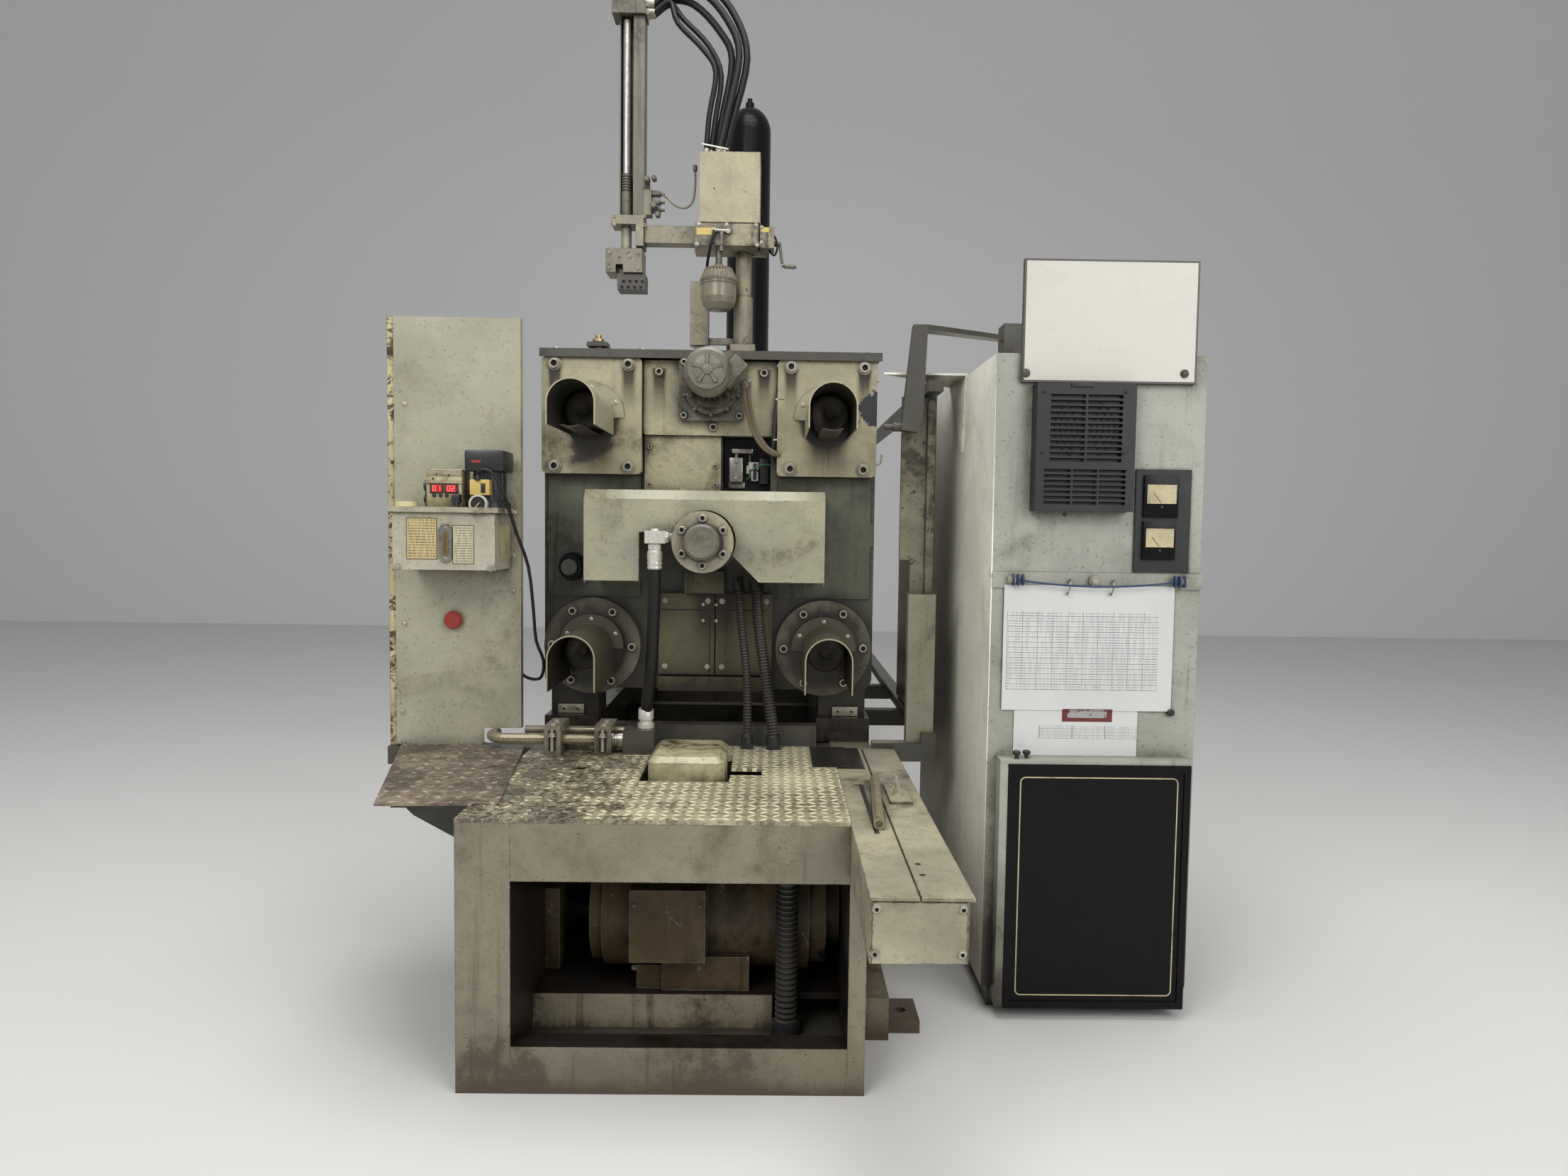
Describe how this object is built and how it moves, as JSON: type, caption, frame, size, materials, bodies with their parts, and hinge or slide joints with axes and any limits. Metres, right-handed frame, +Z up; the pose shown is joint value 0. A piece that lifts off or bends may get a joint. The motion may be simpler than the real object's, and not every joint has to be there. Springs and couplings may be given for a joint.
{
  "type": "die casting machine",
  "caption": "Cold-chamber die casting machine with toggle clamping unit, sprayer on the fixed platen, control cabinet, lubricator panel, sliding guard door and shot unit",
  "frame": {"origin": "on the floor, under the outer face of the link housing, on the centreline of the machine", "axes": "+X to the right seen from the clamping end, +Y along the machine from the clamping end to the injection end, +Z up"},
  "size_m": [2.144, 4.827, 3.7753],
  "materials": {
    "machine_paint": "worn, oil stained",
    "bright_steel": "machined, oily",
    "dark_iron": "dark, oily",
    "black_rubber": "satin",
    "brown_primer": "rusty brown",
    "cabinet_paint": "pale grey green, stained",
    "black_paint": "semi gloss",
    "white_paint": "satin",
    "sheet_paper": "laminated",
    "pipe_steel": "galvanised, tarnished"
  },
  "bodies": {
    "base": {"bed_left_beam": "machine_paint", "bed_right_beam": "machine_paint", "front_header": "machine_paint", "front_sill": "machine_paint", "bed_cross_members": "brown_primer", "slide_rails": "bright_steel", "deck_plate": "machine_paint", "side_deck": "brown_primer", "side_stand": "brown_primer", "deck_cap": "machine_paint", "cable_trough": "cabinet_paint", "pump_motor": "dark_iron", "motor_bracket": "machine_paint", "hydraulic_pump": "dark_iron", "tie_bar_upper_left": "bright_steel", "tie_bar_upper_right": "bright_steel", "tie_bar_lower_left": "bright_steel", "tie_bar_lower_right": "bright_steel", "fixed_platen": "machine_paint", "shot_frame": "machine_paint", "shot_cylinder": "dark_iron", "gas_bottle": "black_paint", "main_hose": "black_rubber", "conduits": "black_rubber", "feed_pipes": "pipe_steel", "side_panel": "machine_paint", "lubricator_tank": "white_paint", "lubricator_pump": "black_paint", "control_cabinet": "cabinet_paint", "cabinet_arm": "machine_paint", "cabinet_cooler": "machine_paint", "breaker_box": "black_paint", "sign_board": "white_paint", "notice_sheets": "sheet_paper", "door_track": "machine_paint", "sprayer_column": "machine_paint", "sprayer_arm": "machine_paint", "sprayer_box": "machine_paint", "sprayer_hoses": "black_rubber"},
    "clamp_unit": {"link_housing": "machine_paint", "housing_lid": "machine_paint", "upper_nut_housings": "machine_paint", "lower_nut_flanges": "machine_paint", "center_plate": "machine_paint", "inspection_cover": "machine_paint", "guard_upper_left": "machine_paint", "guard_upper_right": "machine_paint", "guard_lower_left": "machine_paint", "guard_lower_right": "machine_paint", "clamp_cylinder": "dark_iron", "cylinder_cover": "machine_paint", "adjust_motor": "machine_paint", "toggle_links": "bright_steel", "moving_platen": "machine_paint"},
    "spray_head": {"spray_head": "bright_steel"},
    "guard_door": {"guard_door": "machine_paint"}
  },
  "joints": [
    {"name": "die_height_slide", "type": "slide", "parent": "base", "child": "clamp_unit", "axis": [0, 1, 0], "range_m": [0, 0.12]},
    {"name": "spray_slide", "type": "slide", "parent": "base", "child": "spray_head", "axis": [0, 0, 1], "range_m": [-0.7, 0]},
    {"name": "guard_door_slide", "type": "slide", "parent": "base", "child": "guard_door", "axis": [0, 1, 0], "range_m": [0, 1.5]}
  ]
}
